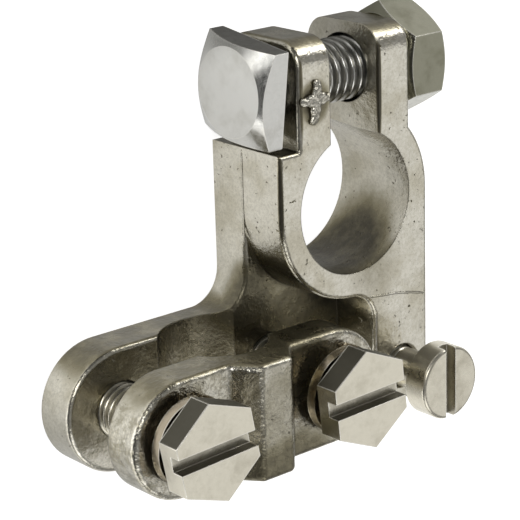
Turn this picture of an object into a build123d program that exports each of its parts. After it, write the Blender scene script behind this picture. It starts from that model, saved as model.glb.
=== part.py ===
from build123d import *
import math
import os

# Battery terminal clamp: a cast brass clamp for the positive post of a starter battery.
# Millimetres. Origin on the axis of the post bore, in the flat back face that lies on the
# battery. +Z runs up the post, from the back face to the front face. +X points to the nut
# of the pinch bolt, +Y to the two ears that the pinch bolt draws together. The cable jaw
# reaches out to -X and -Y, and the cable lies in it along Y.

# Ring round the post
ring_height = 12.8
ring_radius = 12.2
bore_radius = 9.0
bore_land = 4.0
post_taper = 1 / 9          # on the diameter, as on a battery post
cast_edge = 0.6             # rounded outline, front and back, as it leaves the mould

# Ears and the slot between them
slot_half_width = 4.0
ear_left_outer = -9.0
ear_right_outer = 9.3
ear_top = 21.2
ear_corner = 3.2
ledge_y = 8.1               # shoulder under the square head of the pinch bolt

# Cable jaw
plate_thickness = 5.8
jaw_y = -20.2
jaw_radius = 7.8
left_screw_x = -31.7
right_screw_x = -8.6
jaw_corner = 4.4            # hollow corner between the ring's side and the jaw
groove_half_width = 5.9
groove_depth = 2.6

# Block that takes the wire screw
block_left = 2.9
block_corner = 3.7
wire_x = 7.6
wire_y = -23.3

# Cable saddle: a bridge of even thickness, arched over the cable
saddle_back = 12.9
saddle_front = 17.8
saddle_radius = 7.3
saddle_drop = 0.3           # it hangs down by its play on the screws
hump_front = 20.8
hump_half_top = 2.3
hump_half_foot = 4.7
arch_half_width = 5.3
arch_depth = 3.2
saddle_hole = 7.7
saddle_edge = 0.9
saddle_rim_edge = 0.75

# Saddle screws and the spring washers under their heads
saddle_thread = 7.0
saddle_screw_length = 18.0
saddle_hex = 11.0
saddle_head_height = 3.5
saddle_slot_width = 2.0
saddle_slot_depth = 1.5
washer_face = 0.3           # turned face under the hexagon, its height
washer_face_ratio = 0.96    # its diameter over the size across flats
saddle_screw_point = 0.7
left_head_turn = 40.8       # direction of one corner of the hexagon, degrees
right_head_turn = 36.3
left_slot_turn = 2.5
right_slot_turn = 1.5
washer_inner = 7.3
washer_outer = 11.0
washer_thickness = 1.3
left_washer_lift = 1.25     # a free spring washer is one turn of a left-hand helix
right_washer_lift = 1.65
washer_turn = 345
washer_low_end = 70         # direction of its low end, degrees

# Pinch bolt and nut
bolt_y = 15.3
bolt_z = ring_height / 2
bolt_thread = 8.0
bolt_hole = 8.7
bolt_point = 1.0            # chamfer at the end of the thread
square_size = 12.0
square_turn = 7.5           # the head stands askew on the ledge by its play, degrees
square_height = 3.8
bolt_head_end = -14.4
bolt_end = 17.3
nut_size = 13.0
nut_height = 6.3
nut_gap = 0.05
corner_cut = 0.46           # flat circle left by the 30 degree corner chamfer, over the size

# Wire screw
wire_thread = 5.0
wire_head_radius = 4.7
wire_head_edge = 0.5
wire_head_height = 3.3
wire_head_front = 21.5
wire_slot_width = 1.6
wire_slot_depth = 1.5
wire_screw_length = 12.0
wire_screw_point = 0.6
countersink = 6.0
countersink_depth = 0.5

# Fits
thread_clearance = 0.05     # radial, between a thread's crests and its hole
seat_gap = 0.05             # between a screw's head and the washer that it turns on

saddle_middle = (left_screw_x + right_screw_x) / 2


def rectangle(x0, y0, x1, y1):
    """A rectangle in XY from one corner to the other."""
    return Pos((x0 + x1) / 2, (y0 + y1) / 2) * Rectangle(x1 - x0, y1 - y0)


def bar(radius, z0, z1, x0=left_screw_x, x1=right_screw_x):
    """A flat bar along X with full-round ends on the two screw axes."""
    outline = rectangle(x0, jaw_y - radius, x1, jaw_y + radius)
    outline += Pos(x0, jaw_y) * Circle(radius)
    outline += Pos(x1, jaw_y) * Circle(radius)
    return Pos(0, 0, z0) * extrude(outline, z1 - z0)


def rod(x, y, z0, z1, radius):
    """A round rod or hole along Z."""
    return Pos(x, y, z0) * extrude(Circle(radius), z1 - z0)


def chord_cylinder(half_width, depth, face_z, side):
    """A cylinder along Y that enters a flat face by this depth, over this half width.

    side is +1 where it comes from in front of the face and -1 where it comes from behind."""
    radius = (half_width ** 2 + depth ** 2) / (2 * depth)
    centre_z = face_z + side * (radius - depth)
    length = 4 * jaw_radius
    axis = Plane((saddle_middle, jaw_y, centre_z), x_dir=(1, 0, 0), z_dir=(0, 1, 0))
    return axis * Cylinder(radius, length)


def along_x(x):
    """The bolt's axis as a plane at x: drawn in YZ, built towards +X."""
    return Plane((x, bolt_y, bolt_z), x_dir=(0, 1, 0), z_dir=(1, 0, 0))


def in_plane(edge, z):
    """Whether an edge lies at this height."""
    box = edge.bounding_box()
    return abs(box.min.Z - z) < 0.01 and abs(box.max.Z - z) < 0.01


# ---- clamp body: one casting -------------------------------------------------------------
def ear(x0, x1):
    """An ear with rounded top corners, drawn in YZ and extruded along X."""
    profile = rectangle(0, 0, ear_top, ring_height)
    profile = fillet(profile.vertices().group_by(Axis.X)[-1], ear_corner)
    side = Plane((x0, 0, 0), x_dir=(0, 1, 0), z_dir=(1, 0, 0))
    return extrude(side * profile, x1 - x0)


def jaw_plate():
    """The back plate: the foot of the ring, the cable jaw and the hollow corner between."""
    outline = rectangle(-ring_radius, jaw_y - jaw_radius, ring_radius, 0)
    outline += rectangle(left_screw_x, jaw_y - jaw_radius, 0, jaw_y + jaw_radius)
    outline += Pos(left_screw_x, jaw_y) * Circle(jaw_radius)
    hollow = [
        v for v in outline.vertices()
        if abs(v.X + ring_radius) < 0.01 and abs(v.Y - jaw_y - jaw_radius) < 0.01
    ]
    outline = fillet(hollow, jaw_corner)
    plate = extrude(outline, plate_thickness)
    front_rim = [
        e for e in plate.edges()
        if in_plane(e, plate_thickness)
        and (e.center().X < -ring_radius + 0.01 or e.center().Y < jaw_y)
    ]
    return fillet(front_rim, cast_edge)


def post_bore():
    """The bore: a parallel land at the front, then the post's taper, wider at the back."""
    taper_height = ring_height - bore_land
    back_radius = bore_radius + taper_height * post_taper / 2
    profile = Polyline(
        (0, -1), (back_radius, -1), (back_radius, 0), (bore_radius, taper_height),
        (bore_radius, ring_height + 1), (0, ring_height + 1), (0, -1),
    )
    return revolve(Plane.XZ * make_face(profile), Axis.Z)


def clamp_body():
    """Ring, block, jaw plate and ears as one casting, then the bore, the slot and the holes."""
    ring = Circle(ring_radius) + rectangle(-ring_radius, 0, -slot_half_width, ledge_y)
    block = rectangle(block_left, jaw_y - jaw_radius, ring_radius, 0)
    inner = [
        v for v in (ring + block).vertices()
        if abs(v.X - block_left) < 0.01 and abs(v.Y) < ring_radius
    ]
    body = extrude(fillet(inner, block_corner), ring_height)
    body += jaw_plate()
    body += ear(ear_left_outer, -slot_half_width)
    body += ear(slot_half_width, ear_right_outer)
    body = fillet(outer_edges(body), cast_edge)
    body -= post_bore()
    body -= extrude(rectangle(-slot_half_width, 0, slot_half_width, ear_top + 1), ring_height)
    body -= chord_cylinder(groove_half_width, groove_depth, plate_thickness, 1)
    for x in (left_screw_x, right_screw_x):
        body -= rod(x, jaw_y, -1, plate_thickness + 1, saddle_thread / 2 + thread_clearance)
    body -= rod(wire_x, wire_y, -1, ring_height + 1, wire_thread / 2 + thread_clearance)
    mouth = Cone(countersink / 2 - countersink_depth, countersink / 2, countersink_depth)
    body -= Pos(wire_x, wire_y, ring_height - countersink_depth / 2) * mouth
    body -= along_x(0) * Cylinder(bolt_hole / 2, 3 * ring_radius)
    return body


def outer_edges(body):
    """The outline of the back and front faces, without the edges of the slot."""
    return [
        e for e in body.edges()
        if (in_plane(e, 0) or in_plane(e, ring_height))
        and not (abs(e.center().X) < slot_half_width + 0.1 and e.center().Y > 0)
    ]


# ---- cable saddle: a cast bridge that the two screws pull down on the cable ---------------
def cable_saddle():
    """The hat profile is drawn in XZ, extruded along Y and trimmed to a bar with round ends."""
    reach = (right_screw_x - left_screw_x) / 2 + saddle_radius
    profile = Polyline(
        (-reach, saddle_back),
        (reach, saddle_back),
        (reach, saddle_front),
        (hump_half_foot, saddle_front),
        (hump_half_top, hump_front),
        (-hump_half_top, hump_front),
        (-hump_half_foot, saddle_front),
        (-reach, saddle_front),
        (-reach, saddle_back),
    )
    start = Plane((saddle_middle, jaw_y - saddle_radius, 0), x_dir=(1, 0, 0), z_dir=(0, -1, 0))
    hat = extrude(start * make_face(profile), -2 * saddle_radius)
    hat &= bar(saddle_radius, saddle_back, hump_front)
    corners = [e for e in hat.edges().filter_by(Axis.Y) if e.center().Z > saddle_front - 0.01]
    hat = fillet(corners, saddle_edge)
    rim = [
        e for e in hat.edges()
        if e.center().Z > saddle_front - 0.01 and abs(e.center().Y - jaw_y) > saddle_radius / 2
    ]
    hat = fillet(rim, saddle_rim_edge)
    hat -= chord_cylinder(arch_half_width, arch_depth, saddle_back, -1)
    for x in (left_screw_x, right_screw_x):
        hat -= rod(x, jaw_y, saddle_back - 1, saddle_front + 1, saddle_hole / 2)
    return Pos(0, -saddle_drop, 0) * hat


# ---- saddle screws: hexagon heads with a slot ---------------------------------------------
def slot_cutter(width, depth, top, length, turn):
    """A sawn slot across a head; turn is its direction from +X, in degrees."""
    return Pos(0, 0, top - depth / 2) * Rot(0, 0, turn) * Box(length, width, depth)


def saddle_screw(x, washer_lift, head_turn, slot_turn):
    """Head, washer face and threaded shank in one; the thread is its crest cylinder."""
    seat = saddle_front + washer_thickness + washer_lift + seat_gap
    top = seat + saddle_head_height
    hexagon = Rot(0, 0, head_turn) * RegularPolygon(saddle_hex / math.sqrt(3), 6)
    screw = Pos(0, 0, seat + washer_face) * extrude(hexagon, saddle_head_height - washer_face)
    screw += rod(0, 0, seat, seat + washer_face, saddle_hex * washer_face_ratio / 2)
    shank = rod(0, 0, seat - saddle_screw_length, seat, saddle_thread / 2)
    screw += chamfer(shank.edges().sort_by(Axis.Z)[0], saddle_screw_point)
    screw -= slot_cutter(saddle_slot_width, saddle_slot_depth, top, 2 * saddle_hex, slot_turn)
    return Pos(x, jaw_y, 0) * screw


def spring_washer(x, lift):
    """One turn of flat wire on a left-hand helix, open at its ends, resting on the saddle.

    Its ends would bite into the head and the saddle if the screw began to come loose."""
    mean_radius = (washer_inner + washer_outer) / 4
    width = (washer_outer - washer_inner) / 2
    path = Helix(lift * 360 / washer_turn, lift, mean_radius, lefthand=True)
    section = Plane(origin=path @ 0, x_dir=(1, 0, 0), z_dir=path % 0)
    coil = sweep(section * Rectangle(width, washer_thickness), path, is_frenet=True)
    return Pos(x, jaw_y, saddle_front + washer_thickness / 2) * Rot(0, 0, washer_low_end) * coil


# ---- pinch bolt and nut -------------------------------------------------------------------
def crown(size, height, both_ends):
    """A cone at 30 degrees that takes the corners off a head or nut of this size.

    It is a solid along Z from 0 to height, and cuts the end at 0 or both ends."""
    flat = size * corner_cut
    rise = (size - flat) * math.tan(math.radians(30))
    points = [(0, 0), (flat, 0), (size, rise)]
    if both_ends:
        points += [(size, height - rise), (flat, height)]
    else:
        points.append((size, height))
    points.append((0, height))
    return revolve(Plane.XZ * make_face(Polyline(*points, close=True)), Axis.Z)


def pinch_bolt():
    """Square head whose lower flat lies along the ledge, so that it can't turn."""
    head = extrude(Rectangle(square_size, square_size), square_height)
    head &= crown(square_size, square_height, False)
    shank = extrude(Circle(bolt_thread / 2), bolt_end - bolt_head_end)
    shank = chamfer(shank.edges().sort_by(Axis.Z)[-1], bolt_point)
    return along_x(bolt_head_end) * (Rot(0, 0, square_turn) * head + shank)


def pinch_nut():
    nut = extrude(RegularPolygon(nut_size / math.sqrt(3), 6), nut_height)
    nut &= crown(nut_size, nut_height, True)
    nut -= Cylinder(bolt_thread / 2 + thread_clearance, 4 * nut_height)
    return along_x(ear_right_outer + nut_gap) * nut


# ---- wire screw: holds a thin wire on the block -------------------------------------------
def wire_screw():
    """Round slotted head on a threaded shank; the thread is its crest cylinder."""
    seat = wire_head_front - wire_head_height
    head = rod(0, 0, seat, wire_head_front, wire_head_radius)
    head = fillet(head.edges().sort_by(Axis.Z)[-1], wire_head_edge)
    shank = rod(0, 0, seat - wire_screw_length, seat, wire_thread / 2)
    screw = head + chamfer(shank.edges().sort_by(Axis.Z)[0], wire_screw_point)
    screw -= slot_cutter(wire_slot_width, wire_slot_depth, wire_head_front, 4 * wire_head_radius, 90)
    return Pos(wire_x, wire_y, 0) * screw


os.makedirs("parts", exist_ok=True)
parts = {
    "clamp_body": clamp_body(),
    "cable_saddle": cable_saddle(),
    "saddle_screw_left": saddle_screw(
        left_screw_x, left_washer_lift, left_head_turn, left_slot_turn
    ),
    "saddle_screw_right": saddle_screw(
        right_screw_x, right_washer_lift, right_head_turn, right_slot_turn
    ),
    "spring_washer_left": spring_washer(left_screw_x, left_washer_lift),
    "spring_washer_right": spring_washer(right_screw_x, right_washer_lift),
    "pinch_bolt": pinch_bolt(),
    "pinch_nut": pinch_nut(),
    "wire_screw": wire_screw(),
}
for name, solid in parts.items():
    export_step(solid, f"parts/{name}.step")
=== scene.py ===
import math

import bmesh
import bpy
import numpy as np
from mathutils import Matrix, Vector


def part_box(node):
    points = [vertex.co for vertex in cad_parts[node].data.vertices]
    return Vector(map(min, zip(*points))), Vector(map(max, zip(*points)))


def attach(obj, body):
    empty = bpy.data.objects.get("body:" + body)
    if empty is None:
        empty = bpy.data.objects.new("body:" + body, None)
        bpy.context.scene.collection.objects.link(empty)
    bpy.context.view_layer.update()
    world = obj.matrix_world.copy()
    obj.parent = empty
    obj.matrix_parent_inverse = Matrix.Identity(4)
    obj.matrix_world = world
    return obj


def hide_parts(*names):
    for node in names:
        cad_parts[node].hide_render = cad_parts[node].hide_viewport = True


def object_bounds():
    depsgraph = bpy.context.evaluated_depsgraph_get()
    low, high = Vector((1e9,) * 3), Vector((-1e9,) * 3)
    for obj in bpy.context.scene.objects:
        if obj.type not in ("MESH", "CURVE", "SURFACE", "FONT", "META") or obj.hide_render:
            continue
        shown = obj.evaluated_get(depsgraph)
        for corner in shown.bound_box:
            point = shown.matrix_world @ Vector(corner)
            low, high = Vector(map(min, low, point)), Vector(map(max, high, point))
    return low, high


# The looks of a battery terminal clamp: a plated casting that grips the battery's post, a
# saddle that presses the cable into it, and the steel bolt, nut, screws and spring washers
# that hold them. It lies on its flat back, on a white table.
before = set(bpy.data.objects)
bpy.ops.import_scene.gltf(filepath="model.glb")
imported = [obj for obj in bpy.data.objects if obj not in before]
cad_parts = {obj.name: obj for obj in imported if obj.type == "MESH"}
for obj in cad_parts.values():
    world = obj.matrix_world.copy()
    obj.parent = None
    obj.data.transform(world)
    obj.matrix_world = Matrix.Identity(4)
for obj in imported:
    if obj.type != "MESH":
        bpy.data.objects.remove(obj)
cad_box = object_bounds()

# ------------------------------------------------------------------------------ the table
# A pale studio table, white wherever no shadow falls, with the clamp's own shadow on it. Metal
# mirrors it white too, but its glow there has painted shade beside the ears and under the jaw,
# where the clamp keeps the light off, and close against the clamp's foot.
TABLE_HALF = 1.5
TABLE_PAINT = (0.80, 0.80, 0.79, 1.0)
# How strongly it glows, where 1 is white: to the eye, in metal, and the painted extra glow in
# metal beyond the jaw's end, between two distances along X in metres.
TABLE_GLOW_SEEN = 0.84
TABLE_GLOW_MIRRORED = 0.64
TABLE_GLOW_FAR = 1.15
TABLE_FAR_X = (-0.055, -0.075)
# Its oval painted shades: each has a middle and size in metres, fades out between two shares of
# that size, and leaves a share of the glow at its middle.
TABLE_SHADES = (
    {"middle": (-0.002, 0.04, 0), "size": (0.034, 0.02, 1), "fade": (0.93, 1.3), "left": 0.12},
    {"middle": (-0.03, -0.032, 0), "size": (0.019, 0.014, 1), "fade": (0.7, 1.5), "left": 0.25},
)
# The painted shade against the clamp's foot: how far it looks for the clamp in metres, the open
# share between whose two values it fades out, and the share of the glow that it leaves.
TABLE_CONTACT = 0.012
TABLE_CONTACT_FADE = (0.25, 0.65)
TABLE_CONTACT_LEFT = 0.45
TABLE_CONTACT_SAMPLES = 6


def add_node(tree, kind, sockets=None, **settings):
    """Adds a shader node. Settings are its own, sockets are values or outputs that feed them."""
    made = tree.nodes.new("ShaderNode" + kind)
    for name, value in settings.items():
        setattr(made, name, value)
    for name, value in (sockets or {}).items():
        if isinstance(value, bpy.types.NodeSocket):
            tree.links.new(value, made.inputs[name])
        else:
            made.inputs[name].default_value = value
    return made


def maths(tree, operation, first, second, clamp=False):
    """One arithmetic step on two values or sockets."""
    made = add_node(tree, "Math", {0: first, 1: second}, operation=operation, use_clamp=clamp)
    return made.outputs[0]


def ease(tree, value, low, high, start=0.0, end=1.0):
    """Carries a value smoothly from start at low to end at high."""
    sockets = {"Value": value, "From Min": low, "From Max": high, "To Min": start, "To Max": end}
    made = add_node(tree, "MapRange", sockets, interpolation_type="SMOOTHSTEP")
    return made.outputs["Result"]


def distance_from(tree, place, middle, size):
    """How far a place is from a middle, where each axis is measured in its own size."""
    offset = add_node(tree, "VectorMath", {0: place, 1: middle}, operation="SUBTRACT").outputs[0]
    scaled = add_node(tree, "VectorMath", {0: offset, 1: size}, operation="DIVIDE").outputs[0]
    return add_node(tree, "VectorMath", {0: scaled}, operation="LENGTH").outputs["Value"]


def new_material(name):
    """A named material with an empty node tree and its output."""
    made = bpy.data.materials.new(name)
    made.use_nodes = True
    made.node_tree.nodes.clear()
    return made, made.node_tree, made.node_tree.nodes.new("ShaderNodeOutputMaterial")


def mesh_piece(name, points, faces):
    """A new object from rows of points in metres and rows of corner numbers."""
    mesh = bpy.data.meshes.new(name)
    mesh.from_pydata(np.asarray(points, float).tolist(), [], [list(map(int, f)) for f in faces])
    mesh.validate()
    made = bpy.data.objects.new(name, mesh)
    bpy.context.scene.collection.objects.link(made)
    return made


table_z = cad_box[0].z
table_corners = ((-1, -1), (1, -1), (1, 1), (-1, 1))
table = mesh_piece(
    "table", [(x * TABLE_HALF, y * TABLE_HALF, table_z) for x, y in table_corners], [(0, 1, 2, 3)]
)

table_paint, tree, output = new_material("white_table")
ray = add_node(tree, "LightPath").outputs
place = add_node(tree, "TexCoord").outputs["Object"]
mirrored = TABLE_GLOW_MIRRORED
for shade in TABLE_SHADES:
    outward = distance_from(tree, place, shade["middle"], shade["size"])
    lit = ease(tree, outward, *shade["fade"], shade["left"], 1.0)
    mirrored = maths(tree, "MULTIPLY", mirrored, lit)
across = add_node(tree, "SeparateXYZ", {0: place}).outputs["X"]
far = ease(tree, across, *TABLE_FAR_X, 0.0, TABLE_GLOW_FAR)
mirrored = maths(tree, "ADD", mirrored, far)
clear = add_node(
    tree, "AmbientOcclusion", {"Distance": TABLE_CONTACT}, samples=TABLE_CONTACT_SAMPLES
)
contact = ease(tree, clear.outputs["AO"], *TABLE_CONTACT_FADE, TABLE_CONTACT_LEFT, 1.0)
mirrored = maths(tree, "MULTIPLY", mirrored, contact)
bounced = maths(tree, "ADD", ray["Is Glossy Ray"], ray["Is Transmission Ray"])
glow = maths(
    tree,
    "ADD",
    maths(tree, "MULTIPLY", ray["Is Camera Ray"], TABLE_GLOW_SEEN),
    maths(tree, "MULTIPLY", bounced, mirrored),
)
paint = add_node(tree, "BsdfDiffuse", {"Color": TABLE_PAINT})
shine = add_node(tree, "Emission", {"Color": (1, 1, 1, 1), "Strength": glow})
both = add_node(tree, "AddShader", {0: paint.outputs[0], 1: shine.outputs[0]})
tree.links.new(both.outputs[0], output.inputs["Surface"])
table.data.materials.append(table_paint)

# ------------------------------------------------------------------------------ the light
# Four square soft lamps: a broad one above on the nut's side, one in front of the cable jaw, and
# two small bright ones, low behind the nut and high on the jaw's side, that draw bright lines
# on the edges. The room is palest on the broad lamp's side, and white to the eye.
LAMPS = (
    ("lamp_above", (0.42, -0.18, 0.48), 0.42, 0.66),
    ("lamp_in_front", (-0.12, -0.42, 0.30), 0.30, 1.8),
    ("lamp_behind", (0.34, 0.40, 0.16), 0.22, 5.0),
    ("lamp_over_jaw", (-0.31, 0.20, 0.37), 0.20, 5.0),
)
ROOM_DARKEST = 0.10
ROOM_PALEST = 0.42
ROOM_PALE_SIDE = Vector((0.55, -0.30, 0.78)).normalized()
ROOM_FADE = (-0.2, 0.95)


def soft_lamp(name, place, size, brightness):
    """A square soft lamp at a place in metres from the clamp's middle, turned towards it.

    Its power is the brightness of its face, where 1 is white, times pi times its area."""
    data = bpy.data.lights.new(name, "AREA")
    data.shape = "SQUARE"
    data.size = size
    data.energy = brightness * math.pi * size ** 2
    lamp = bpy.data.objects.new(name, data)
    lamp.location = (cad_box[0] + cad_box[1]) / 2 + Vector(place)
    lamp.rotation_euler = (-Vector(place)).to_track_quat("-Z", "Y").to_euler()
    lamp.visible_camera = False
    bpy.context.scene.collection.objects.link(lamp)


for lamp_name, lamp_place, lamp_size, lamp_brightness in LAMPS:
    soft_lamp(lamp_name, lamp_place, lamp_size, lamp_brightness)

room = bpy.data.worlds.new("white_room")
bpy.context.scene.world = room
room.use_nodes = True
tree = room.node_tree
tree.nodes.clear()
direction = add_node(tree, "TexCoord").outputs["Generated"]
towards = add_node(tree, "VectorMath", {0: direction, 1: ROOM_PALE_SIDE}, operation="DOT_PRODUCT")
level = ease(tree, towards.outputs["Value"], *ROOM_FADE, ROOM_DARKEST, ROOM_PALEST)
eye = add_node(tree, "LightPath").outputs["Is Camera Ray"]
sky = add_node(tree, "Background", {"Strength": maths(tree, "MAXIMUM", level, eye)})
output = tree.nodes.new("ShaderNodeOutputWorld")
tree.links.new(sky.outputs[0], output.inputs["Surface"])

# ----------------------------------------------------------------------------- the camera
# A long lens, high on the side of the jaw, that looks down on the front of the clamp with the
# ears upwards.
CAMERA_PLACE = (-0.16400, 0.07098, 0.18981)
CAMERA_TURN = (-16.544, -40.585, -2.086)
CAMERA_LENS = 142.28
CAMERA_SHIFT = (-0.00766, -0.00221)
CAMERA_NEAREST = 0.01

camera_data = bpy.data.cameras.new("camera")
camera_data.lens = CAMERA_LENS
camera_data.shift_x, camera_data.shift_y = CAMERA_SHIFT
camera_data.clip_start = CAMERA_NEAREST
camera = bpy.data.objects.new("camera", camera_data)
camera.location = CAMERA_PLACE
camera.rotation_euler = [math.radians(turn) for turn in CAMERA_TURN]
bpy.context.scene.collection.objects.link(camera)
bpy.context.scene.camera = camera
bpy.context.scene.view_settings.view_transform = "Standard"

# ----------------------------------------------------------------------------- the casting
# The clamp's body is one brass casting with rounded edges, plated after it was fettled. Its
# skin is sandy and finely pitted. A brown film lies in its corners, deepened there by painted
# shade, and the sides that face the ears are darkened with painted shade.
MM = 0.001
CAST_BRIGHT = (0.64, 0.615, 0.535, 1)
CAST_WARM = (0.51, 0.48, 0.39, 1)
CAST_OLIVE = (0.225, 0.203, 0.136, 1)
CAST_FILM_AND_SHADE = (0.064, 0.057, 0.039, 1)
# Patterns of the skin: the size of a feature in mm, the noise's own settings, and the low and
# high of the noise between which the effect goes from its start, or none, to its end, or all.
CAST_WAVES = {"size": 2.4, "detail": 3.0, "rough": 0.5}
CAST_SAND = {"size": 0.42, "detail": 3.0, "rough": 0.6}
PIT_FIELDS = {"size": 3.6, "detail": 2.0, "rough": 0.6}
PIT_SPECKS = {"size": 0.62, "detail": 2.5, "rough": 0.5, "warp": 0.1, "low": 0.67, "high": 0.73}
PATCH_MOTTLE = {"size": 1.5, "detail": 6.0, "rough": 0.6, "low": 0.3, "high": 0.66, "start": 0.8}
WARM_CLOUDS = {"size": 5.0, "detail": 4.0, "rough": 0.55, "low": 0.42, "high": 0.68}
OLIVE_SPECKS = {"size": 0.38, "detail": 5.0, "rough": 0.7, "low": 0.4, "high": 0.66, "end": 0.24}
FILM_AND_SHADE_BLOTCHES = {"detail": 5.0, "rough": 0.62}
FILM_MIST = {"size": 1.1, "detail": 6.0, "rough": 0.72, "low": 0.34, "high": 0.62}
# Patches of painted shade on the sides that face +Y.
Y_SHADE_PATCHES = {"size": 2.2, "detail": 4.0, "rough": 0.6, "low": 0.3, "high": 0.62, "start": 0.75}
# Where the effects begin and end, as shares from 0 to 1, and how strong they are.
# Hollows darken with a brown film that is deepened by painted shade.
HEMMED_FILM_AND_SHADE = 1.25
FILM_AND_SHADE_FADE = (0.05, 0.85)
FILM_AND_SHADE_BLOTCH = 3.2
FILM_AND_SHADE_METALLIC = 0.65
FILM_AND_SHADE_ROUGHER = 0.13
THIN_FILM_AND_SHADE = (0.0, 0.60)
THICK_FILM_AND_SHADE = (0.45, 1.0)
CAST_Y_SHADE_FADE = (0.45, 0.95)
PATCH_FADE = (0.45, 1.0)
PIT_FIELD_FADE = (0.22, 0.30)
PIT_SHARE = 0.5
PIT_DEPTH = 0.9
PIT_FILM = 0.75
FILM_AND_SHADE_SAMPLES = 12
# The height of the skin's relief, and how far its edges are softened, in mm.
SKIN_RELIEF = 0.085
CAST_EDGE = 0.22
EDGE_SAMPLES = 6


def new_group(name, inputs, outputs):
    """A shader node group with inputs {name: number or vector} and the named number outputs."""
    tree = bpy.data.node_groups.new(name, "ShaderNodeTree")
    for socket, value in inputs.items():
        kind = "Float" if isinstance(value, float) else "Vector"
        made = tree.interface.new_socket(socket, in_out="INPUT", socket_type="NodeSocket" + kind)
        made.default_value = value
    for socket in outputs:
        tree.interface.new_socket(socket, in_out="OUTPUT", socket_type="NodeSocketFloat")
    return tree, tree.nodes.new("NodeGroupInput").outputs, tree.nodes.new("NodeGroupOutput").inputs


def place_group(tree, group, values):
    """Places a node group in a material with its own values."""
    made = tree.nodes.new("ShaderNodeGroup")
    made.node_tree = group
    for name, value in values.items():
        made.inputs[name].default_value = value
    return made.outputs


def noise(tree, place, size, detail, rough, warp=0.0):
    """Cloudy noise from 0 to 1 whose features are this many millimetres across.

    The size is a number or a socket."""
    if isinstance(size, float):
        scale = 1 / (size * MM)
    else:
        scale = maths(tree, "DIVIDE", 1 / MM, size)
    sockets = {
        "Vector": place,
        "Scale": scale,
        "Detail": detail,
        "Roughness": rough,
        "Distortion": warp,
    }
    return add_node(tree, "TexNoise", sockets).outputs["Fac"]


def patches(tree, place, low, high, start=0.0, end=1.0, **cloud):
    """Patches of noise: from start where the noise is low, smoothly to end where it is high."""
    return ease(tree, noise(tree, place, **cloud), low, high, start, end)


def mix_colour(tree, share, first, second):
    """Mixes two colours or colour sockets by a share."""
    made = add_node(tree, "Mix", {0: share, 6: first, 7: second}, data_type="RGBA")
    return made.outputs[2]


def film_and_shade_group():
    """Dark film with painted shade: it grows with how far the surface is hemmed in within a reach
    in mm, as shade falls there, and noise with blotches of a size in mm spreads it unevenly."""
    inputs = {"Reach": 2.0, "Spread": 0.5, "Blotch": 3.0}
    tree, given, out = new_group("film_and_shade", inputs, ["Film"])
    place = add_node(tree, "TexCoord").outputs["Object"]
    reach = {"Distance": maths(tree, "MULTIPLY", given["Reach"], MM)}
    clear = add_node(tree, "AmbientOcclusion", reach, samples=FILM_AND_SHADE_SAMPLES, only_local=True)
    hemmed = maths(tree, "SUBTRACT", 1.0, clear.outputs["AO"])
    blotches = noise(tree, place, given["Blotch"], **FILM_AND_SHADE_BLOTCHES)
    uneven = maths(tree, "MULTIPLY", maths(tree, "SUBTRACT", blotches, 0.5), given["Spread"])
    amount = maths(tree, "ADD", maths(tree, "MULTIPLY", hemmed, HEMMED_FILM_AND_SHADE), uneven)
    tree.links.new(ease(tree, amount, *FILM_AND_SHADE_FADE), out["Film"])
    return tree


def cast_skin_group():
    """Skin of a casting: its height is soft waves plus sandy grain less scattered pits, and the
    pits are also a mask."""
    inputs = {"Waves": 1.0, "Sand": 0.5, "Pits": 0.5}
    tree, given, out = new_group("cast_skin", inputs, ["Height", "Pit"])
    place = add_node(tree, "TexCoord").outputs["Object"]
    waves = maths(tree, "MULTIPLY", noise(tree, place, **CAST_WAVES), given["Waves"])
    sand = maths(tree, "MULTIPLY", noise(tree, place, **CAST_SAND), given["Sand"])
    fields = maths(tree, "MULTIPLY", noise(tree, place, **PIT_FIELDS), given["Pits"])
    specks = patches(tree, place, **PIT_SPECKS)
    pit = maths(tree, "MULTIPLY", specks, ease(tree, fields, *PIT_FIELD_FADE))
    relief = maths(tree, "ADD", waves, sand)
    height = maths(tree, "SUBTRACT", relief, maths(tree, "MULTIPLY", pit, PIT_DEPTH))
    tree.links.new(height, out["Height"])
    tree.links.new(pit, out["Pit"])
    return tree


def dark_patch_group():
    """A soft-edged, mottled dark patch: full in its middle, and gone at its reach along each axis.
    """
    inputs = {"Middle": (0.0, 0.0, 0.0), "Reach": (1.0, 1.0, 1.0), "Strength": 1.0}
    tree, given, out = new_group("dark_patch", inputs, ["Mask"])
    place = add_node(tree, "TexCoord").outputs["Object"]
    distance = distance_from(tree, place, given["Middle"], given["Reach"])
    full = ease(tree, distance, *PATCH_FADE, 1.0, 0.0)
    mask = maths(tree, "MULTIPLY", full, patches(tree, place, **PATCH_MOTTLE))
    tree.links.new(maths(tree, "MULTIPLY", mask, given["Strength"]), out["Mask"])
    return tree


film_and_shade = film_and_shade_group()
cast_skin = cast_skin_group()
dark_patch = dark_patch_group()


def finish_metal(tree, output, colour, metallic, roughness, normal):
    """Ends a material in a metal of this colour, roughness and normal."""
    sockets = {
        "Base Color": colour,
        "Metallic": metallic,
        "Roughness": roughness,
        "Normal": normal,
    }
    shader = add_node(tree, "BsdfPrincipled", sockets)
    tree.links.new(shader.outputs[0], output.inputs["Surface"])


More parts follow.
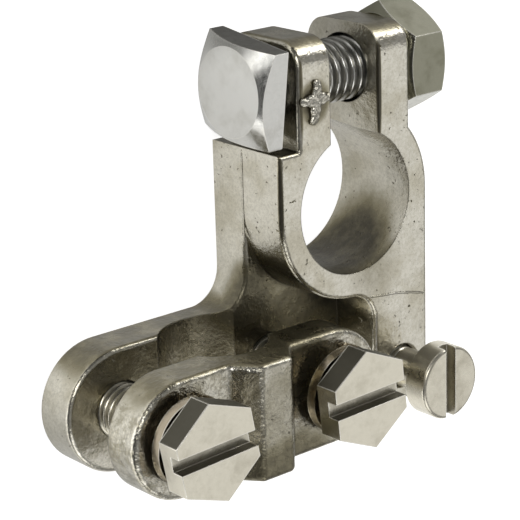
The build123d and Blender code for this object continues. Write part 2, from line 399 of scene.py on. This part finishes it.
def casting_material(name, polish, reach, spread, waves, sand, haze, painted_y_shade, dark_patches):
    """Plated casting: bright metal, warm clouds, dark film with painted shade, and pits, over
    softened edges.

    Bare metal has the polish as its roughness. The dark film is at least the haze, painted shade
    darkens sides that face +Y by its own share, and it is darker at each dark patch, given as
    (middle, reach, strength) in mm."""
    made, tree, output = new_material(name)
    coords = add_node(tree, "TexCoord").outputs
    place = coords["Object"]
    skin = place_group(tree, cast_skin, {"Waves": waves, "Sand": sand, "Pits": PIT_SHARE})
    film = {"Reach": reach, "Spread": spread, "Blotch": FILM_AND_SHADE_BLOTCH}
    dark = place_group(tree, film_and_shade, film)["Film"]
    dark = maths(tree, "MAXIMUM", dark, patches(tree, place, end=haze, **FILM_MIST))
    dark = maths(tree, "MAXIMUM", dark, maths(tree, "MULTIPLY", skin["Pit"], PIT_FILM))
    # Painted shade, in patches, on the sides that face +Y.
    up = add_node(tree, "SeparateXYZ", {0: coords["Normal"]}).outputs["Y"]
    y_shade_mask = patches(tree, place, **Y_SHADE_PATCHES)
    y_shade_mask = maths(tree, "MULTIPLY", ease(tree, up, *CAST_Y_SHADE_FADE), y_shade_mask)
    dark = maths(tree, "MAXIMUM", dark, maths(tree, "MULTIPLY", y_shade_mask, painted_y_shade))
    # Each dark patch darkens the casting, in some places as painted shade.
    for middle, size, strength in dark_patches:
        where = {"Middle": [x * MM for x in middle], "Reach": [x * MM for x in size]}
        mark = place_group(tree, dark_patch, {**where, "Strength": strength})["Mask"]
        dark = maths(tree, "MAXIMUM", dark, mark)
    metal = mix_colour(tree, patches(tree, place, **WARM_CLOUDS), CAST_BRIGHT, CAST_WARM)
    metal = mix_colour(tree, patches(tree, place, **OLIVE_SPECKS), metal, CAST_OLIVE)
    thin = mix_colour(tree, ease(tree, dark, *THIN_FILM_AND_SHADE), metal, CAST_OLIVE)
    colour = mix_colour(tree, ease(tree, dark, *THICK_FILM_AND_SHADE), thin, CAST_FILM_AND_SHADE)
    metallic = ease(tree, dark, *THICK_FILM_AND_SHADE, 1.0, FILM_AND_SHADE_METALLIC)
    roughness = ease(tree, dark, 0.0, 1.0, polish, polish + FILM_AND_SHADE_ROUGHER)
    softened = add_node(tree, "Bevel", {"Radius": CAST_EDGE * MM}, samples=EDGE_SAMPLES)
    relief = {
        "Height": skin["Height"],
        "Distance": SKIN_RELIEF * MM,
        "Strength": 1.0,
        "Normal": softened.outputs["Normal"],
    }
    bump = add_node(tree, "Bump", relief).outputs["Normal"]
    finish_metal(tree, output, colour, metallic, roughness, bump)
    return made


def finish_node(name, material):
    """Gives a CAD node its material in place of the plain one."""
    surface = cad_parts[name].data
    surface.materials.clear()
    surface.materials.append(material)


# Dark patches on the body: painted shade in three places in the pocket where ring, jaw and
# block meet, and round the foot of the plus sign; a darker patch along the jaw, a dark line down
# the ring's left edge, and a dark line on the edge of each ear.
CAST_DARK_PATCHES = (
    ((2.5, -8.0, 6.0), (10.5, 14.0, 9.0), 0.98),
    ((-4.5, -14.0, 5.8), (9.0, 5.0, 3.0), 0.70),
    ((-13.0, -11.0, 8.0), (10.5, 7.5, 7.5), 0.78),
    ((-26.0, -13.0, 6.0), (15.0, 6.0, 3.0), 0.25),
    ((-12.2, 1.6, 12.8), (0.62, 12.0, 0.62), 1.25),
    ((-6.45, 13.8, 12.8), (3.3, 3.6, 0.9), 0.78),
    ((4.0, 14.0, 12.8), (0.6, 10.0, 0.6), 1.15),
    ((-8.5, 15.0, 12.8), (0.35, 7.0, 0.4), 0.75),
)

casting = casting_material(
    "plated_casting",
    polish=0.19,
    reach=2.0,
    spread=0.6,
    waves=1.5,
    sand=0.60,
    haze=0.13,
    painted_y_shade=0.75,
    dark_patches=CAST_DARK_PATCHES,
)
finish_node("clamp_body", casting)

# ------------------------------------------------------- what the mould left on the casting
# A plus sign stands on the front of the left ear, for the positive post. Where the two halves
# of the mould met, level with the front of the jaw, a low ridge runs along the ring's side, and
# a faint line crosses the front of the block.
# Sizes are in mm. The plus sign's bars are fuller the lower their power is, and their lumps are
# waves along and across them, each with its radians a millimetre and its start.
PLUS_BARS = (((-8.85, 14.05), (-4.05, 14.15)), ((-6.80, 11.0), (-6.10, 16.5)))
PLUS_WIDTH = 1.45
PLUS_HEIGHT = 0.62
# Painted shade at the foot of the plus sign's bars.
PLUS_FOOT_SHADE = ((-6.45, 13.8, 12.7), (4.5, 4.5, 0.5), 1.15)
BAR_ROWS = 24
BAR_AROUND = 40
BAR_POWER = 0.62
LUMP_HEIGHT = 0.26
LUMPS_ALONG = (3.7, 1.3)
LUMPS_ACROSS = (4.6, 0.7)
SIDE_LINE = ((-12.2, 7.9), (-12.2, -4.4))
SIDE_LINE_Z = 5.85
SIDE_LINE_WIDTH = 0.36
SIDE_LINE_HEIGHT = 0.07
FRONT_LINE = ((2.1, -12.7), (4.4, -13.0), (6.4, -13.2), (9.0, -13.7), (11.6, -14.4))
FRONT_LINE_WIDTH = 0.34
FRONT_LINE_HEIGHT = 0.05
RIDGE_ROWS = 40
RIDGE_AROUND = 12
RIDGE_TAPER = 10


def closed_rows(rows, around):
    """Faces of a surface whose rows run round it, closed by its first and last points."""
    number = 1 + np.arange(rows * around).reshape(rows, around)
    near = np.roll(number, -1, axis=1)
    walls = np.stack((number[:-1], near[:-1], near[1:], number[1:]), -1).reshape(-1, 4)
    first = np.stack((np.zeros(around, int), near[0], number[0]), -1)
    last = np.stack((np.full(around, rows * around + 1), number[-1], near[-1]), -1)
    return walls.tolist() + first.tolist() + last.tolist()


def rounded_bar(start, end, face_z):
    """A bar with full edges lying half sunk in a face: a superellipsoid, whose three axes are
    the bar's half length, half width and height, each times a power of cosine and sine.

    Its width and height swell and shrink by a sine along it times a cosine across it."""
    start, end = np.array(start), np.array(end)
    half = np.linalg.norm(end - start) / 2
    along = (end - start) / (2 * half)
    across = np.array((-along[1], along[0]))
    rise = np.linspace(-np.pi / 2, np.pi / 2, BAR_ROWS + 2)[1:-1, None]
    turn = np.linspace(0, 2 * np.pi, BAR_AROUND, endpoint=False)[None, :]

    def full(wave):
        """A wave raised to the bar's power, with its sign kept."""
        return np.sign(wave) * np.abs(wave) ** BAR_POWER

    u = half * full(np.cos(rise)) * full(np.cos(turn))
    v = PLUS_WIDTH / 2 * full(np.cos(rise)) * full(np.sin(turn))
    w = PLUS_HEIGHT * full(np.sin(rise)) + 0 * turn
    swell = LUMP_HEIGHT * np.sin(LUMPS_ALONG[0] * u + LUMPS_ALONG[1])
    lump = 1 + swell * np.cos(LUMPS_ACROSS[0] * v + LUMPS_ACROSS[1])
    flat = (start + end) / 2 + u[..., None] * along + (v * lump)[..., None] * across
    body = np.concatenate((flat, (face_z + w * lump)[..., None]), -1).reshape(-1, 3)
    poles = [np.append((start + end) / 2, face_z + side * PLUS_HEIGHT) for side in (-1, 1)]
    return np.vstack((poles[0], body, poles[1])) * MM, closed_rows(BAR_ROWS, BAR_AROUND)


def joined_piece(name, surfaces, material):
    """One smooth piece of the casting, made of several closed surfaces."""
    points = np.vstack([surface[0] for surface in surfaces])
    faces, offset = [], 0
    for surface_points, surface_faces in surfaces:
        faces += [[corner + offset for corner in face] for face in surface_faces]
        offset += len(surface_points)
    made = mesh_piece(name, points, faces)
    made.data.shade_smooth()
    made.data.materials.append(material)
    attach(made, "root")


def stepped(corners, height):
    """Even steps along a line through (x, y) corners at a height: each coordinate goes straight
    from one corner's to the next one's."""
    steps = np.linspace(0, len(corners) - 1, RIDGE_ROWS)
    flat = [np.interp(steps, range(len(corners)), one) for one in np.array(corners).T]
    return np.stack((*flat, np.full(RIDGE_ROWS, height)), -1)


def ridge(path, outward, width, height):
    """A low ridge along a path on a wall, an ellipse across, that tapers to nothing at its ends.

    It is as wide as given along the wall, square to the path, and as high outward. The taper is
    the root of 1 less a high power of the distance from the path's middle."""
    outward = np.array(outward, float)
    along = np.gradient(path, axis=0)
    sideways = np.cross(along / np.linalg.norm(along, axis=1)[:, None], outward)
    from_middle = np.linspace(-1, 1, RIDGE_ROWS)
    taper = np.sqrt(np.clip(1 - from_middle ** RIDGE_TAPER, 0.0, 1))[1:-1, None]
    turn = np.linspace(0, 2 * np.pi, RIDGE_AROUND, endpoint=False)[None, :]
    proud = height * np.cos(turn) * taper
    beside = width / 2 * np.sin(turn) * taper
    body = path[1:-1, None, :] + proud[..., None] * outward[None, None, :]
    body = body + beside[..., None] * sideways[1:-1, None, :]
    points = np.vstack((path[0], body.reshape(-1, 3), path[-1])) * MM
    return points, closed_rows(RIDGE_ROWS - 2, RIDGE_AROUND)


mark_casting = casting_material(
    "plated_casting_mark",
    polish=0.16,
    reach=0.5,
    spread=0.5,
    waves=0.6,
    sand=1.2,
    haze=0.0,
    painted_y_shade=0.3,
    dark_patches=(PLUS_FOOT_SHADE,),
)
front_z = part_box("clamp_body")[1].z / MM
plus_bars = [rounded_bar(start, end, front_z) for start, end in PLUS_BARS]
joined_piece("plus_sign", plus_bars, mark_casting)

side_path = stepped(SIDE_LINE, SIDE_LINE_Z)
side_ridge = ridge(side_path, (-1, 0, 0), SIDE_LINE_WIDTH, SIDE_LINE_HEIGHT)
joined_piece("parting_ridge_left", [side_ridge], casting)

front_path = stepped(FRONT_LINE, front_z)
front_ridge = ridge(front_path, (0, 0, 1), FRONT_LINE_WIDTH, FRONT_LINE_HEIGHT)
joined_piece("casting_line_front", [front_ridge], casting)

# ------------------------------------------------------------------------- the cable saddle
# A second casting, a bridge of even thickness whose arch presses the cable into the jaw. It is
# wavier and sandier than the body, stained on its lower side and darker on its hump, and at its
# right foot, between the hump and the right screw's head, it has painted shade.
SADDLE_DARK_PATCHES = (
    ((-17.0, -29.0, 20.5), (15.0, 9.0, 7.0), 0.72),
    ((-13.0, -17.0, 17.5), (6.0, 8.0, 2.2), 0.60),
    ((-20.1, -20.0, 20.8), (4.0, 10.0, 1.6), 0.36),
)

saddle_casting = casting_material(
    "plated_casting_saddle",
    polish=0.20,
    reach=0.9,
    spread=0.7,
    waves=3.0,
    sand=1.0,
    haze=0.36,
    painted_y_shade=0.66,
    dark_patches=SADDLE_DARK_PATCHES,
)
finish_node("cable_saddle", saddle_casting)

# ------------------------------------------------------------------------- the pinch bolt
# A square-headed M8 bolt of nickel-plated steel that draws the two ears together. Its head is
# forged, with the corners chamfered, and its thread shows in the slot between the ears.
BOLT = {"head": 3.8, "thread": 8.0, "pitch": 1.25, "point": 1.0, "edge": 0.16}
BOLT_WAY = Vector((1, 0, 0))
BOLT_BRIGHT = (0.56, 0.555, 0.525, 1)
BOLT_OLIVE = (0.42, 0.41, 0.37, 1)
# Plated steel: the dirt in its recesses, deepened with painted shade, the bare metal of its worn
# edges, painted brighter as a highlight, its patterns as for the casting, and the sizes of its
# effects in mm.
STEEL_DIRT_AND_SHADE = (0.042, 0.039, 0.028, 1)
STEEL_WORN_HIGHLIGHT = (0.78, 0.76, 0.70, 1)
STEEL_CLOUDS = {"size": 3.4, "detail": 5.0, "rough": 0.6, "low": 0.45, "high": 0.75}
STEEL_SCUFFS = {"size": 0.7, "detail": 4.0, "rough": 0.6, "warp": 0.6}
STEEL_DENTS = {"size": 3.0, "detail": 2.0, "rough": 0.45}
STEEL_RELIEF = 0.050
DIRT_AND_SHADE_SPREAD = 0.35
DIRT_AND_SHADE_BLOTCH = 1.6
WORN_HIGHLIGHT_RADIUS = 0.28
# Where its effects begin and end, and how strong they are.
WORN_HIGHLIGHT_FADE = (0.995, 0.90)
WORN_HIGHLIGHT_SHARE = 0.8
STEEL_Y_SHADE_FADE = (0.35, 0.7)
SCUFF_DEPTH = 0.06
SCUFF_FADE = (0.3, 0.75)
SCUFF_ROUGHER = 0.09
DIRT_AND_SHADE_ROUGHER = 0.25
# Shapes, in mm: how close welded corners lie, how close to a cut counts as on it, how far under
# its seat the CAD head is cut off its shank, and how deep in the head the threaded one starts.
WELD = 1e-4
CUT = 1e-5
UNDER_HEAD = 0.05
IN_HEAD = 0.6
# Angles in degrees: faces within the first are one flat face, edges that turn by less than the
# second are smooth, by more than the third are rounded, and a thread creases at the fourth.
FLAT_ANGLE = 1
SMOOTH_ANGLE = 18
ROUNDED_ANGLE = 42
CREASE_ANGLE = 60
ROUNDED_SEGMENTS = 2
ROUNDED_PROFILE = 0.5
# A thread's points round the rod and steps a turn, its depth as a share of the pitch, and how
# flat its crests and roots are.
THREAD_AROUND = 48
THREAD_STEPS = 10
THREAD_DEPTH = 0.60
THREAD_FLATNESS = 2.2


def worn_edge_highlight_group():
    """Worn edges, painted bright as a highlight: where the normal, smoothed over a radius in mm,
    leaves the true one.
    """
    tree, given, out = new_group("worn_edge_highlight", {"Radius": 0.3}, ["Edge"])
    radius = maths(tree, "MULTIPLY", given["Radius"], MM)
    smoothed = add_node(tree, "Bevel", {"Radius": radius}, samples=EDGE_SAMPLES).outputs[0]
    true = add_node(tree, "NewGeometry").outputs["Normal"]
    same = add_node(tree, "VectorMath", {0: smoothed, 1: true}, operation="DOT_PRODUCT")
    tree.links.new(ease(tree, same.outputs["Value"], *WORN_HIGHLIGHT_FADE), out["Edge"])
    return tree


worn_edge_highlight = worn_edge_highlight_group()


def steel_material(name, bright, olive, cloudiness, reach, recess=0.8, painted_y_shade=0.0, polish=0.17):
    """Plated steel: bright metal, faint olive clouds, scuffs in the roughness, dirt with painted
    shade in recesses.

    By its own share, painted shade also darkens open sides that face +Y. Worn edges are clean
    and bright, painted brighter as a highlight."""
    made, tree, output = new_material(name)
    coords = add_node(tree, "TexCoord").outputs
    place = coords["Object"]
    film = {"Reach": reach, "Spread": DIRT_AND_SHADE_SPREAD, "Blotch": DIRT_AND_SHADE_BLOTCH}
    hemmed = place_group(tree, film_and_shade, film)["Film"]
    edge = place_group(tree, worn_edge_highlight, {"Radius": WORN_HIGHLIGHT_RADIUS})["Edge"]
    metal = mix_colour(tree, patches(tree, place, end=cloudiness, **STEEL_CLOUDS), bright, olive)
    # Painted shade on open sides that face +Y.
    up = add_node(tree, "SeparateXYZ", {0: coords["Normal"]}).outputs["Y"]
    y_shade_mask = ease(tree, up, *STEEL_Y_SHADE_FADE, 0.0, painted_y_shade)
    y_shade_mask = maths(tree, "MULTIPLY", y_shade_mask, maths(tree, "SUBTRACT", 1.0, hemmed))
    # Dirt in recesses deepened by painted shade, plus the painted shade on +Y sides.
    dirt_and_shade = maths(tree, "ADD", maths(tree, "MULTIPLY", hemmed, recess), y_shade_mask, clamp=True)
    dirt_and_shade = maths(tree, "MULTIPLY", dirt_and_shade, maths(tree, "SUBTRACT", 1.0, edge))
    colour = mix_colour(tree, dirt_and_shade, metal, STEEL_DIRT_AND_SHADE)
    # Worn edges, painted bright as a highlight.
    colour = mix_colour(tree, maths(tree, "MULTIPLY", edge, WORN_HIGHLIGHT_SHARE), colour, STEEL_WORN_HIGHLIGHT)
    scuffs = noise(tree, place, **STEEL_SCUFFS)
    dents = noise(tree, place, **STEEL_DENTS)
    height = maths(tree, "ADD", maths(tree, "MULTIPLY", scuffs, SCUFF_DEPTH), dents)
    bump = add_node(tree, "Bump", {"Height": height, "Distance": STEEL_RELIEF * MM})
    scuffed = ease(tree, scuffs, *SCUFF_FADE, polish, polish + SCUFF_ROUGHER)
    roughness = maths(tree, "ADD", scuffed, maths(tree, "MULTIPLY", dirt_and_shade, DIRT_AND_SHADE_ROUGHER))
    finish_metal(tree, output, colour, 1.0, roughness, bump.outputs["Normal"])
    return made


def welded_copy(node):
    """A CAD node's mesh as a bmesh whose triangles are joined and whose flat faces are whole."""
    made = bmesh.new()
    made.from_mesh(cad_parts[node].data)
    bmesh.ops.remove_doubles(made, verts=made.verts, dist=WELD * MM)
    flat = math.radians(FLAT_ANGLE)
    bmesh.ops.dissolve_limit(made, angle_limit=flat, verts=made.verts, edges=made.edges)
    return made


def cut_off(shape, place, direction):
    """Cuts a shape by a plane, drops what lies in the direction and closes the cut."""
    bmesh.ops.bisect_plane(
        shape,
        geom=shape.verts[:] + shape.edges[:] + shape.faces[:],
        dist=CUT * MM,
        plane_co=place,
        plane_no=direction,
        clear_outer=True,
    )
    open_edges = [edge for edge in shape.edges if edge.is_boundary]
    bmesh.ops.holes_fill(shape, edges=open_edges)


def round_edges(shape, width):
    """Rounds every edge that turns by more than the rounded angle, by this width in mm.

    An edge that turns by less than that but isn't smooth stays crisp, as it was cut."""
    for face in shape.faces:
        face.smooth = True
    inner = [edge for edge in shape.edges if len(edge.link_faces) == 2]
    for edge in inner:
        edge.smooth = edge.calc_face_angle() < math.radians(SMOOTH_ANGLE)
    sharp = [edge for edge in inner if edge.calc_face_angle() > math.radians(ROUNDED_ANGLE)]
    bmesh.ops.bevel(
        shape,
        geom=sharp,
        offset=width * MM,
        offset_type="OFFSET",
        segments=ROUNDED_SEGMENTS,
        profile=ROUNDED_PROFILE,
        affect="EDGES",
        clamp_overlap=True,
    )


def threaded_rod(start, end, radius, pitch, point, plain):
    """A screw thread along a straight axis, closed at both ends, as points and faces.

    The radius falls by a smooth wave of the length over the pitch less the turn, which is a
    helix. It stays full over the plain stretch at the start, and over the last stretch it
    falls as the rod's point is chamfered."""
    length = (end - start).length / MM
    rows = round(length / pitch * THREAD_STEPS) + 1
    along = np.linspace(0, length, rows)[:, None]
    turn = np.linspace(0, 2 * np.pi, THREAD_AROUND, endpoint=False)[None, :]
    phase = 2 * np.pi * (along / pitch - turn / (2 * np.pi))
    crest = np.tanh(THREAD_FLATNESS * np.cos(phase)) / np.tanh(THREAD_FLATNESS)
    cut = np.clip((along - plain) / pitch + (plain == 0), 0, 1)
    reach = radius - THREAD_DEPTH * pitch * (0.5 - 0.5 * crest) * cut
    reach = np.minimum(reach, radius - point + np.minimum(length - along, point) + 0 * turn)
    axis = np.array((end - start).normalized())
    lies_along_x = abs(axis[0]) > abs(axis[2])
    side = np.cross(axis, (0.0, 0.6, 0.8) if lies_along_x else (1.0, 0.0, 0.0))
    side /= np.linalg.norm(side)
    across = np.cross(axis, side)
    ring = np.cos(turn)[..., None] * side + np.sin(turn)[..., None] * across
    points = np.array(start) + MM * (along[..., None] * axis + reach[..., None] * ring)
    number = np.arange(rows * THREAD_AROUND).reshape(rows, THREAD_AROUND)
    near = np.roll(number, -1, axis=1)
    walls = np.stack((number[:-1], near[:-1], near[1:], number[1:]), -1).reshape(-1, 4)
    faces = walls.tolist() + [number[0, ::-1].tolist(), number[-1].tolist()]
    return points.reshape(-1, 3), faces


def add_surface(shape, points, faces):
    """Adds a closed surface, given as points and faces, to a bmesh."""
    mesh = bpy.data.meshes.new("surface")
    mesh.from_pydata(np.asarray(points).tolist(), [], faces)
    mesh.shade_smooth()
    mesh.set_sharp_from_angle(angle=math.radians(CREASE_ANGLE))
    shape.from_mesh(mesh)
    bpy.data.meshes.remove(mesh)


def shape_piece(name, shape, material, body, node):
    """Makes a bmesh a steel piece in place of a CAD node: smooth but for its crisp edges."""
    mesh = bpy.data.meshes.new(name)
    bmesh.ops.recalc_face_normals(shape, faces=shape.faces)
    shape.to_mesh(mesh)
    shape.free()
    made = bpy.data.objects.new(name, mesh)
    bpy.context.scene.collection.objects.link(made)
    weighted = made.modifiers.new("flat_faces", "WEIGHTED_NORMAL")
    weighted.keep_sharp = True
    mesh.materials.append(material)
    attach(made, body)
    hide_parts(node)


def threaded_piece(node, body, material, way, head, thread, pitch, point, edge, plain=0.0):
    """A bolt or screw that points one way: the CAD node's head, of a height, with rounded edges,
    on a shank with a real thread. Its sizes are in mm."""
    low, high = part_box(node)
    middle = (low + high) / 2
    half = abs((high - low).dot(way)) / 2
    seat = middle + (head * MM - half) * way
    shape = welded_copy(node)
    cut_off(shape, seat + UNDER_HEAD * MM * way, way)
    round_edges(shape, edge)
    top = seat - IN_HEAD * MM * way
    tip = middle + half * way
    add_surface(shape, *threaded_rod(top, tip, thread / 2, pitch, point, plain))
    shape_piece(f"{node}_threaded", shape, material, body, node)


bolt_steel = steel_material(
    "plated_steel_bolt", BOLT_BRIGHT, BOLT_OLIVE, cloudiness=0.55, reach=1.0, painted_y_shade=0.85
)
threaded_piece("pinch_bolt", "bolt", bolt_steel, BOLT_WAY, **BOLT)

# -------------------------------------------------------------------------- the pinch nut
# A hexagon M8 nut of the same steel, chamfered on its outer end. Its plating is the dullest of
# all, with an olive cast.
NUT_BRIGHT = (0.24, 0.235, 0.180, 1)
NUT_OLIVE = (0.15, 0.145, 0.100, 1)
NUT_EDGE = 0.22

nut_steel = steel_material("plated_steel_nut", NUT_BRIGHT, NUT_OLIVE, cloudiness=0.7, reach=1.0)
nut = welded_copy("pinch_nut")
round_edges(nut, NUT_EDGE)
shape_piece("pinch_nut_rounded", nut, nut_steel, "nut", "pinch_nut")

# --------------------------------------------------- the saddle screws and their washers
# Two slotted hexagon-head M7 screws pull the saddle down on the cable. Under each head is a
# free spring washer, one turn of brown spring steel.
SADDLE_SCREW = {"head": 3.5, "thread": 7.0, "pitch": 1.0, "point": 0.7, "edge": 0.16}
SCREW_WAY = Vector((0, 0, -1))
SCREW_BRIGHT = (0.635, 0.600, 0.500, 1)
SCREW_OLIVE = (0.40, 0.37, 0.29, 1)
SPRING_BRIGHT = (0.38, 0.33, 0.25, 1)
SPRING_BROWN = (0.20, 0.16, 0.11, 1)

screw_steel = steel_material(
    "plated_steel_screws",
    SCREW_BRIGHT,
    SCREW_OLIVE,
    cloudiness=0.5,
    reach=3.0,
    recess=0.62,
    painted_y_shade=0.95,
)
for side in ("left", "right"):
    threaded_piece(
        f"saddle_screw_{side}", f"screw_{side}", screw_steel, SCREW_WAY, **SADDLE_SCREW
    )

spring = steel_material("spring_steel", SPRING_BRIGHT, SPRING_BROWN, cloudiness=0.8, reach=0.8)
for side in ("left", "right"):
    finish_node(f"spring_washer_{side}", spring)

# -------------------------------------------------------------------------- the wire screw
# A slotted cheese-head M5 screw that clamps a thin wire on the block beside the ring. Its shank
# is plain under the head.
WIRE_SCREW = {"head": 3.3, "thread": 5.0, "pitch": 0.8, "point": 0.6, "edge": 0.12, "plain": 5.4}

wire_steel = steel_material(
    "plated_steel_wire_screw",
    SCREW_BRIGHT,
    SCREW_OLIVE,
    cloudiness=0.7,
    reach=1.2,
    recess=0.6,
    painted_y_shade=0.1,
    polish=0.25,
)
threaded_piece("wire_screw", "wire_screw", wire_steel, SCREW_WAY, **WIRE_SCREW)
